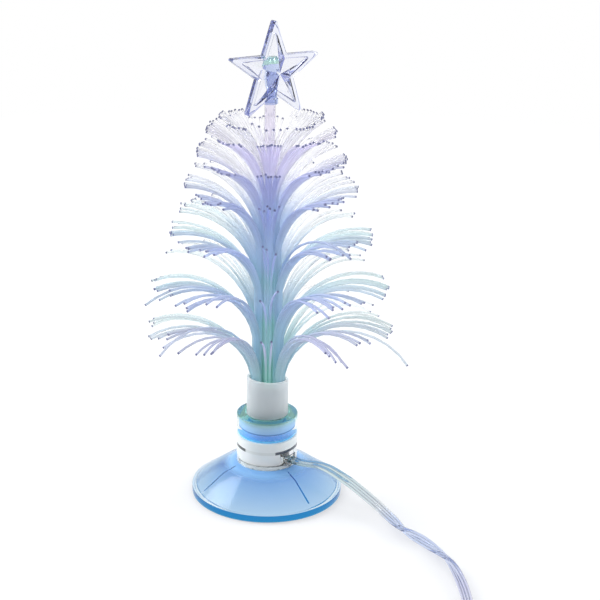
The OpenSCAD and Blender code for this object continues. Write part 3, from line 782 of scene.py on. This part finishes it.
# Housing and the parts that show through it, in mm
HOUSING_TINTS = [(13, "#FFFFFF"), (31, "#F4FBFA"), (32.8, "#B4DED2"), (33.7, "#3C9080")]
HOUSING_SIDES = 160
HOUSING_EDGE = 0.5
HOUSING_LIP = 0.3
HOUSING_FINE = 0.15
BUSH_WIDTH = 6.5
FILTER_R = 7.5
FILTER_LOW = 23.9
FILTER_HIGH = 24.5
SPACER_LIP = 0.2
BUNDLE_SIDES = 96
BUNDLE_END_R = 7.15
BUNDLE_END_LOW = 26.9
# The bundle end's light blue is painted blue light from the filter, with a thin dark blue band near its foot
BUNDLE_END_TINTS = [
    (26.9, "#7CBCFA"), (27, "#2F6FB4"), (27.3, "#4A90D8"), (27.6, "#A0CEFF"), (30, "#B8DCFF"),
    (31.5, "#DDF2F6")]
BOARD_TINTS = [
    (-9.2, "#3C4246"), (-7.6, "#3C4246"), (-7.2, "#EEF2F0"), (2.8, "#EEF2F0"), (3.2, "#3A4658"),
    (9.2, "#3A4658")]

# Sleeve: its foot, how far its top is cut down and aslant, and its tints by height, in mm, then the rod
SLEEVE_FOOT = 31.5
SLEEVE_CUT = 1.3
SLEEVE_SLANT = Vector((-0.07, -0.08))
SLEEVE_WALL = 1
SLEEVE_EDGE = 0.25
# The pale blue at the foot is painted blue light from the filter, and the slightly lighter top is painted
# light
SLEEVE_TINTS = [(31, "#CFECF2"), (33.8, "#F6FCFE"), (45, "#F6FCFE"), (46.5, "#FAFEFF"), (50, "#FAFEFF")]
ROD_EDGE = 0.2
ROD_SIDES = 64


def cup_profile():
    """The cup's closed outline, of even wall under its dome, and the places that its grooves run through."""
    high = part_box("suction_cup")[1]
    rim_r = high.x
    rim_h, rim_w, bevel, wall = (size * MM for size in (CUP_RIM_H, CUP_RIM_W, CUP_BEVEL, CUP_WALL))
    seat_r = HOUSING_R + CUP_SEAT * MM
    seat_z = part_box("housing")[0].z - CUP_CLEARANCE * MM
    dome_r = CUP_DOME_R * MM
    dome_z = CUP_DOME_Z * MM
    fall = (dome_z - rim_h) / (rim_r - bevel - dome_r)
    top_fall = (seat_z - dome_z) / (dome_r - seat_r)
    drop = wall * math.sqrt(1 + fall * fall)
    cave_r = rim_r - rim_w
    cave_z = rim_h + (rim_r - bevel - cave_r) * fall - drop
    cave_top = seat_z - CUP_CAVE * MM
    cave_top_r = dome_r - (cave_top + drop - dome_z) / top_fall
    fine = CUP_FINE * MM
    neck_r = STUD_NECK_R * MM
    head_r = STUD_HEAD_R * MM
    head_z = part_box("bottom_plate")[1].z + CUP_CLEARANCE * MM
    head_low, head_high = (edge * MM for edge in STUD_EDGES)
    groove_in = seat_r + GROOVE_ENDS[0] * MM
    groove_out = rim_r - GROOVE_ENDS[1] * MM
    groove = [
        (groove_out, dome_z - (groove_out - dome_r) * fall), (dome_r, dome_z),
        (groove_in, seat_z - (groove_in - seat_r) * top_fall)]
    outline = rounded([
        (0, cave_top, 0), (cave_top_r, cave_top, CUP_CAVE_EDGE * MM), (dome_r, dome_z - drop, 0),
        (cave_r, cave_z, bevel), (cave_r, 0, fine), (rim_r, 0, bevel), (rim_r, rim_h - bevel / 2, bevel),
        (rim_r - bevel, rim_h, bevel / 2), *((r, z, 0) for r, z in groove),
        (seat_r, seat_z, bevel), (neck_r, seat_z, fine), (neck_r, head_z, fine),
        (head_r, head_z, head_low), (head_r, high.z, head_high), (0, high.z, 0)])
    return outline, groove


def sink_grooves(points, groove):
    """Sinks the points on the grooves, and gives their indexes."""
    lines = [round(turn % 360 / 360 * CUP_SIDES) for turn in CUP_GROOVES]
    sunk = set()
    for k, (x, y, z) in enumerate(points):
        reach = math.hypot(x, y)
        on_ring = any(abs(reach - r) < TINY and abs(z - ring_z) < TINY for r, ring_z in groove)
        if on_ring and round(math.atan2(y, x) / math.tau * CUP_SIDES) % CUP_SIDES in lines:
            points[k] = (x, y, z - GROOVE_DEPTH * MM)
            sunk.add(k)
    return sunk


def make_cup(material, rim, top):
    """Domed cup with a thicker rim, and a stud that holds the housing."""
    outline, groove = cup_profile()
    points, faces = lathe(outline, CUP_SIDES)
    sunk = sink_grooves(points, groove)
    cup = new_piece("cup_shell", points, faces, "cup", "cup_blue", [material, rim, top], sharp=50)
    bevel = CUP_BEVEL * MM
    rim_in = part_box("suction_cup")[1].x - bevel
    rim_top = CUP_RIM_H * MM - bevel / 2
    for face in cup.data.polygons:
        on_rim = face.center.xy.length > rim_in and face.center.z < rim_top
        in_groove = len(sunk.intersection(face.vertices)) == 2
        # Groove faces take the rim's dark blue as painted shade lines down the dome
        if on_rim or in_groove:
            face.material_index = 1
        elif face.normal.z > CUP_TOP_FACING:
            face.material_index = 2
    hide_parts("suction_cup")


def make_housing(material):
    """Clear housing with a solid floor in its socket. It grips what it holds, so that no air shows there."""
    low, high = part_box("housing")
    gap, edge, lip, fine = (size * MM for size in (FIT, HOUSING_EDGE, HOUSING_LIP, HOUSING_FINE))
    plate_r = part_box("bottom_plate")[1].x + gap
    plate_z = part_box("bottom_plate")[1].z
    grip_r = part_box("upper_spacer")[1].x - gap
    spacer_z = FILTER_LOW * MM - gap
    filter_r = FILTER_R * MM - gap
    filter_z = FILTER_HIGH * MM - gap
    socket_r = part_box("sleeve")[1].x + gap
    socket_z = SLEEVE_FOOT * MM + gap
    end_r = BUNDLE_END_R * MM - gap
    end_z = BUNDLE_END_LOW * MM + gap
    outline = rounded([
        (plate_r, low.z, fine), (high.x, low.z, lip), (high.x, high.z, edge),
        (socket_r, high.z, lip), (socket_r, socket_z, 0), (end_r, socket_z, 0), (end_r, end_z, 0),
        (0, end_z, 0), (0, filter_z, 0), (filter_r, filter_z, 0), (filter_r, spacer_z, 0),
        (grip_r, spacer_z, 0), (grip_r, plate_z, fine), (plate_r, plate_z, fine)])
    points, faces = lathe(outline, HOUSING_SIDES)
    housing = new_piece("housing_shell", points, faces, "base", "clear_acrylic", [material], sharp=40)
    bush_w = BUSH_WIDTH * MM
    bush_low, bush_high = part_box("cord_bush")
    cut(housing, *block(
        (0, -bush_w / 2, bush_low.z - gap), (2 * high.x, bush_w / 2, bush_high.z + gap), EXIT_TURN))
    housing.visible_shadow = False
    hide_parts("housing")


def make_filter(material, spacer_material):
    """The blue filter is a thin disc under the housing's floor, with room below for the lamp's tip."""
    tip_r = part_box("led")[1].x
    tip_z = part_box("led")[1].z / MM + FIT
    outline = [
        Vector(p) * MM for p in (
            (0, tip_z), (tip_r / MM, tip_z), (tip_r / MM, FILTER_LOW), (FILTER_R, FILTER_LOW),
            (FILTER_R, FILTER_HIGH), (0, FILTER_HIGH))]
    disc = new_piece("filter_disc", *lathe(outline), "base", "filter_blue", [material])
    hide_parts("light_filter")
    low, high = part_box("upper_spacer")
    inner = FILTER_R * MM - SPACER_LIP * MM
    outline = [
        Vector(p) for p in (
            (inner, low.z), (high.x, low.z), (high.x, FILTER_LOW * MM), (inner, FILTER_LOW * MM))]
    ring = new_piece("spacer_ring", *lathe(outline), "base", "white_plastic", [spacer_material])
    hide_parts("upper_spacer")


def make_bundle_end():
    """The glued end of the fibres, painted light blue as the filter's blue light on it, with a thin dark blue
    band near its foot; it stands out below the sleeve.
    """
    material = new_material("bundle_end", Roughness=0.5)
    paint(material, "Z", BUNDLE_END_TINTS)
    bump(material, noise(material, GRAIN_WAVES), GRAIN_HEIGHT)
    outline = [
        Vector(p) * MM for p in (
            (0, BUNDLE_END_LOW), (BUNDLE_END_R, BUNDLE_END_LOW), (BUNDLE_END_R, SLEEVE_FOOT),
            (0, SLEEVE_FOOT))]
    new_piece("bundle_end", *lathe(outline, BUNDLE_SIDES), "tree", "fiber", [material])


def make_sleeve(material):
    """The sleeve's upper end is cut a little aslant."""
    low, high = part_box("sleeve")
    foot = SLEEVE_FOOT * MM
    top = high.z - SLEEVE_CUT * MM
    outer = high.x
    inner = outer - SLEEVE_WALL * MM
    fine = SLEEVE_EDGE * MM
    outline = rounded([(inner, foot, fine), (outer, foot, fine), (outer, top, fine), (inner, top, fine)])
    points, faces = lathe(outline, BUNDLE_SIDES)
    middle = (low.z + high.z) / 2
    points = [
        (x, y, z + (SLEEVE_SLANT.x * x + SLEEVE_SLANT.y * y if z > middle else 0)) for x, y, z in points]
    sleeve = new_piece("sleeve_tube", points, faces, "tree", "frosted_white", [material])
    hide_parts("sleeve")


def make_rod(material):
    low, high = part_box("center_rod")
    fine = ROD_EDGE * MM
    outline = rounded([(0, low.z, 0), (high.x, low.z, fine), (high.x, high.z, fine), (0, high.z, 0)])
    rod = new_piece("rod_clear", *lathe(outline, ROD_SIDES), "tree", "clear_acrylic", [material])
    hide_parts("center_rod")


# Star: hollow and faceted, with blunt points, in mm and degrees
STAR_ARMS = 5
STAR_HALF = math.radians(36)
STAR_R = 18.5
STAR_NOTCH = 7.8
STAR_TIP_CUT = 1.6
STAR_BLUNT = 0.4
STAR_EDGE = 1.7
STAR_MIDDLE = 5.2
STAR_WALL = 1.5
STAR_HOLLOW = 4.5
STAR_BEVEL = 0.4
STAR_SHARP = 20
STAR_SHIFT = Vector((1.2, 0, -0.6))
STAR_TURN = math.radians(29)
STAR_HEIGHT = 170.2

# Star tube: walls and edges, then heights above its foot, and the cap on its top, in mm
TUBE_FOOT = 1.2
TUBE_TOP = 1.0
TUBE_END = 1.2
TUBE_NECK = 0.4
TUBE_COLLAR = 0.35
TUBE_EDGE = 0.15
TUBE_COLLAR_HIGH = 2
TUBE_NECK_LOW = 2.4
TUBE_NECK_HIGH = 6.5
TUBE_BODY_LOW = 7.2
CAP_HEIGHT = 2.4
CAP_TOP = 0.6
CAP_SIDES = 10


def star_outline(scale):
    """Corners of the star, anticlockwise from the front, in mm."""
    full = STAR_R + STAR_TIP_CUT
    share = STAR_TIP_CUT / (full - STAR_NOTCH * math.cos(STAR_HALF))
    corners = []
    for arm in range(STAR_ARMS):
        a = math.radians(90 + 360 / STAR_ARMS * arm)
        ahead = Vector((math.cos(a), math.sin(a)))
        tip = ahead * full
        before = Vector((math.cos(a - STAR_HALF), math.sin(a - STAR_HALF))) * STAR_NOTCH
        after = Vector((math.cos(a + STAR_HALF), math.sin(a + STAR_HALF))) * STAR_NOTCH
        blunt = ahead * (STAR_R + STAR_BLUNT)
        corners += [before, tip.lerp(before, share), blunt, tip.lerp(after, share)]
    return [corner * scale for corner in corners]


def star_skin(outline, edge, middle):
    """Closed skin of a star, faceted in front and behind, with an edge between."""
    count = len(outline)
    points = [Vector((x, y, z)) for y in (-edge, edge) for x, z in outline]
    points += [Vector((0, -middle, 0)), Vector((0, middle, 0))]
    front, back = len(points) - 2, len(points) - 1
    faces = []
    for i in range(count):
        j = (i + 1) % count
        faces += [(front, i, j), (i, count + i, count + j, j), (back, count + j, count + i)]
    return points, faces


def make_star(material, rim):
    """Hollow star, whose edge faces are tinted pale lilac blue as a painted reflection."""
    spin = Matrix.Rotation(STAR_TURN, 3, "Z")
    up = Vector((0, 0, STAR_HEIGHT))
    full = STAR_R + STAR_TIP_CUT
    side = math.sqrt(full ** 2 + STAR_NOTCH ** 2 - 2 * full * STAR_NOTCH * math.cos(STAR_HALF))
    reach = full * STAR_NOTCH * math.sin(STAR_HALF) / side
    points, faces = star_skin(star_outline(1), STAR_EDGE, STAR_MIDDLE)
    inner_points, inner_faces = star_skin(
        star_outline((reach - STAR_WALL) / reach), STAR_EDGE - STAR_WALL / 2, STAR_HOLLOW)
    start = len(points)
    faces += [tuple(start + i for i in reversed(face)) for face in inner_faces]
    points = [(spin @ p + up + STAR_SHIFT) * MM for p in points + inner_points]
    star = new_piece("star_clear", points, faces, "star", "star_clear", [material, rim], sharp=STAR_SHARP)
    for face in star.data.polygons:
        on_edge = len(face.vertices) == 4
        face.material_index = 1 if on_edge else 0
    soften(star, STAR_BEVEL, segments=3, angle=STAR_SHARP)
    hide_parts("star_front", "star_back")


def make_star_tube(material, cap_material):
    """The tube that holds the star on the rod: a collar, a slim neck, and a cap in the star's middle."""
    low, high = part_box("star_socket")
    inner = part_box("center_rod")[1].x + FIT * MM
    end = high.z - TUBE_END * MM
    top = high.z + TUBE_TOP * MM
    fine = TUBE_EDGE * MM
    outer = (high.x - low.x) / 2
    neck = inner + TUBE_NECK * MM
    collar = outer + TUBE_COLLAR * MM
    foot = low.z + TUBE_FOOT * MM
    collar_high, neck_low, neck_high, body_low = (
        foot + height * MM for height in (TUBE_COLLAR_HIGH, TUBE_NECK_LOW, TUBE_NECK_HIGH, TUBE_BODY_LOW))
    outline = rounded([
        (inner, foot, fine), (collar, foot, 2 * fine), (collar, collar_high, 2 * fine),
        (neck, neck_low, fine), (neck, neck_high, fine), (outer, body_low, fine),
        (outer, top, fine), (0, top, 0), (0, end, 0), (inner, end, fine)])
    tube = new_piece("star_tube", *lathe(outline, ROD_SIDES), "star", "star_clear", [material])
    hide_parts("star_socket")
    cap_h = CAP_HEIGHT * MM
    cap_z = top + FIT * MM
    cap_outline = rounded([
        (0, cap_z, 0), (collar, cap_z, fine), (collar, cap_z + cap_h / 2, 3 * fine),
        (outer * CAP_TOP, cap_z + cap_h, 3 * fine), (0, cap_z + cap_h, 0)])
    new_piece(
        "star_cap", *lathe(cap_outline, CAP_SIDES), "star", "star_clear", [cap_material], sharp=STAR_SHARP)


def dress(materials):
    """Gives the CAD nodes that stay their materials, and softer edges of a width in mm."""
    for name, (material, edge) in materials.items():
        node = nodes[name]
        node.data.materials.clear()
        node.data.materials.append(material)
        if edge:
            soften(node, edge, segments=2, angle=40)


# Stage: the floor, with the distances between which it turns white, the sky and the daylight, in metres
FLOOR_R = 3.0
FLOOR_SIDES = 96
FLOOR_TINT = "#F1F2F4"
FLOOR_GLOW = 0.45
FLOOR_WHITE = (0.3, 0.7)
GLASS_GLOW = 0.9
GLASS_BOUNCES = 32
GLASS_RAYS = ["Is Glossy Ray", "Is Transmission Ray"]
SKY_TINTS = [(0.3, "#FFFFFF"), (0.9, "#C4C5E8")]
DAY_TINT = "#F4F6FA"
DAY_LIGHT = 0.82

# Lamps: name, place in metres, size in metres, power in watts, and whether gloss and glass show it
LAMP_AIM = Vector((0, 0, 0.09))
LAMPS = [
    ("back", (0, 1.2, 0.9), 0.6, 3, False),
    ("left", (-1.15, 0.4, 0.6), 0.7, 7.5, False),
    ("right", (1.15, 0.4, 0.45), 0.7, 7.5, False),
    ("top", (-0.7, 0.33, 0.85), 0.5, 3.4, True)]


def is_seen(tree, kinds):
    """A value that is 1 on these kinds of rays."""
    path = tree.nodes.new("ShaderNodeLightPath")
    total = path.outputs[kinds[0]]
    for kind in kinds[1:]:
        total = combine(tree, "MAXIMUM", total, path.outputs[kind])
    return total


def mix_shader(tree, share, first, second):
    """A blend of two shaders, from the first to the second by a share."""
    node = tree.nodes.new("ShaderNodeMixShader")
    tree.links.new(share, node.inputs["Fac"])
    tree.links.new(first, node.inputs[1])
    tree.links.new(second, node.inputs[2])
    return node.outputs[0]


def floor_material():
    """Pale matt floor that glows for the camera, more so further out, and in gloss and glass."""
    material = bpy.data.materials.new("floor")
    material.use_nodes = True
    tree = material.node_tree
    tree.nodes.clear()
    matt = tree.nodes.new("ShaderNodeBsdfDiffuse")
    matt.inputs["Color"].default_value = rgba(FLOOR_TINT)
    glow = tree.nodes.new("ShaderNodeEmission")
    far = map_range(tree, length_of(tree, object_place(tree)), *FLOOR_WHITE, FLOOR_GLOW)
    seen = combine(tree, "MULTIPLY", is_seen(tree, ["Is Camera Ray"]), far)
    mirrored = combine(tree, "MULTIPLY", is_seen(tree, GLASS_RAYS), GLASS_GLOW)
    share = combine(tree, "MAXIMUM", seen, mirrored)
    out = tree.nodes.new("ShaderNodeOutputMaterial")
    tree.links.new(mix_shader(tree, share, matt.outputs[0], glow.outputs[0]), out.inputs["Surface"])
    return material


def make_floor():
    turns = [math.tau * k / FLOOR_SIDES for k in range(FLOOR_SIDES)]
    mesh = bpy.data.meshes.new("floor")
    mesh.from_pydata(
        [(FLOOR_R * math.cos(a), FLOOR_R * math.sin(a), 0) for a in turns], [], [tuple(range(FLOOR_SIDES))])
    mesh.materials.append(floor_material())
    floor = add_object("floor", mesh)


def make_world():
    """Even daylight on the object. Glass and gloss see a sky that is white low down and lilac above."""
    world = bpy.data.worlds.new("world")
    world.use_nodes = True
    scene.world = world
    tree = world.node_tree
    tree.nodes.clear()
    direction = tree.nodes.new("ShaderNodeTexCoord").outputs["Generated"]
    sky = tree.nodes.new("ShaderNodeBackground")
    tree.links.new(color_ramp(tree, split_axes(tree, direction)["Z"], SKY_TINTS), sky.inputs["Color"])
    light = tree.nodes.new("ShaderNodeBackground")
    light.inputs["Color"].default_value = rgba(DAY_TINT)
    light.inputs["Strength"].default_value = DAY_LIGHT
    blank = tree.nodes.new("ShaderNodeBackground")
    blank.inputs["Color"].default_value = (1, 1, 1, 1)
    lit = mix_shader(tree, is_seen(tree, GLASS_RAYS), light.outputs[0], sky.outputs[0])
    shown = mix_shader(tree, is_seen(tree, ["Is Camera Ray"]), lit, blank.outputs[0])
    out = tree.nodes.new("ShaderNodeOutputWorld")
    tree.links.new(shown, out.inputs["Surface"])


def make_lamp(name, place, size, power, mirrored):
    """An area lamp. Where it isn't mirrored, gloss and glass don't show it."""
    lamp = bpy.data.lights.new(name, "AREA")
    lamp.size = size
    lamp.energy = power
    holder = add_object(name, lamp)
    holder.location = place
    holder.rotation_euler = (LAMP_AIM - Vector(place)).to_track_quat("-Z", "Y").to_euler()
    holder.visible_glossy = mirrored
    holder.visible_transmission = mirrored


def make_stage():
    make_floor()
    make_world()
    for lamp in LAMPS:
        make_lamp(*lamp)
    scene.view_settings.view_transform = "Standard"
    scene.cycles.max_bounces = GLASS_BOUNCES
    scene.cycles.glossy_bounces = GLASS_BOUNCES
    scene.cycles.transmission_bounces = GLASS_BOUNCES


# Camera and lead
make_camera()
lead_clear = clear_material("lead_clear", inside=("#AEB9D8", 130))
# The lead's tints along its length are painted reflections
paint(lead_clear, "Y", LEAD_REFLECTION_TINTS)
make_lead(lead_clear, metal_material("lead_wire", "#D4D6DC", "#ECEEF2", 0.35))

# Fibres, from the bottom tier up
fiber = fiber_material()
tip = plastic_material("fiber_tip", "#676A8C", "#8487AC", 0.5)
for tier in range(len(TIER_REACH)):
    make_tier(tier, fiber, tip)

# Suction cup: one soft blue plastic, with its own material on the wall, the top and the rim; wall and top
# carry a painted reflection gradient, and the grooves take the rim's dark blue as painted shade lines
SOFT_BLUE = {"inside": ("#5FB0EE", 20), "ior": 1.4}
CUP_ROUGH = (0.08, 0.16)
cup_blue = clear_material("cup_blue", "#A6CBEE", rough=CUP_ROUGH, **SOFT_BLUE)
paint(cup_blue, "R", CUP_TINTS)
cup_top = clear_material("cup_top", "#A6CBEE", rough=CUP_ROUGH, **SOFT_BLUE)
paint(cup_top, "R", CUP_TOP_TINTS)
clear_outwards(cup_top, *CUP_CLEAR)
# The rim's dark blue also paints shade lines in the grooves
cup_rim_and_shade_lines = clear_material("cup_rim_and_shade_lines", "#0058A8", rough=(0.02, 0.08), **SOFT_BLUE)
make_cup(cup_blue, cup_rim_and_shade_lines, cup_top)

# Housing, and what it and the sleeve hold
acrylic = clear_material("acrylic")
paint(acrylic, "Z", HOUSING_TINTS)
make_housing(acrylic)
spacer_white = plastic_material("spacer_white", "#F8FEFE", "#FFFFFF", 0.4)
make_filter(plastic_material("filter_blue", "#54C4FF", "#66CCFF", 0.25), spacer_white)
make_bundle_end()
make_sleeve(frosted_material("sleeve_frosted", SLEEVE_TINTS, SLEEVE_FOOT))
make_rod(clear_material("rod_clear", "#FAF6FC", ("#C4BEDE", 110)))

# Star: its edge faces are tinted pale lilac blue as a painted reflection
STAR_PLASTIC = {"inside": ("#7C98E8", 38), "wave": 0.004}
make_star(clear_material("star_clear", **STAR_PLASTIC), clear_material("star_rim", "#DADFF6", **STAR_PLASTIC))
make_star_tube(
    clear_material("tube_clear", "#D2DEF4", ("#6F92EA", 30)),
    clear_material("cap_mint", "#D9F3EA", ("#7FCFC0", 80)))

# CAD nodes that stay: the material of each, and the width of its soft edges in mm
white = plastic_material("white_plastic", "#F2F4F4", "#FBFCFC", 0.4)
steel = metal_material("tinned_steel", "#A9ADB2", "#D5D8DC", 0.25)
plate = grained_material("plate_milky", "#EAF0F0", 0.3)
vary_color(plate, noise(plate, SPECK_WAVES), "#EAF0F0", "#4E5450", SPECK_SPAN)
board = grained_material("board_pale", "#EEF2F0", 0.4)
paint(board, "X", BOARD_TINTS)
dress({
    "bottom_plate": (plate, 0.2),
    "lower_spacer": (spacer_white, 0.15),
    "circuit_board": (board, 0.1),
    "led": (clear_material("led_resin", inside=("#E8F0FF", 40)), 0.0),
    "led_legs": (steel, 0.0),
    "chip_resistor": (plastic_material("black_resin", "#202124", "#2F3034", 0.35), 0.08),
    "lead_wires": (metal_material("copper_wire", "#B9713F", "#DB9A63", 0.3), 0.0),
    "cord_bush": (acrylic, 0.15),
    # The band's dark grey is painted shade that darkens the sleeve's middle
    "binding_band": (plastic_material("band_grey", "#4A5C64", "#5E6E76", 0.5), 0.0),
    "cord_tie": (white, 0.12),
    "plug_grip": (plastic_material("grip_plastic", "#DDE2E8", "#EBEFF3", 0.4), 0.6),
    "plug_shell": (steel, 0.08),
    "plug_insert": (white, 0.1),
    "plug_contacts": (metal_material("gold_contact", "#C99A3C", "#E8C15C", 0.22), 0.05),
})
make_stage()
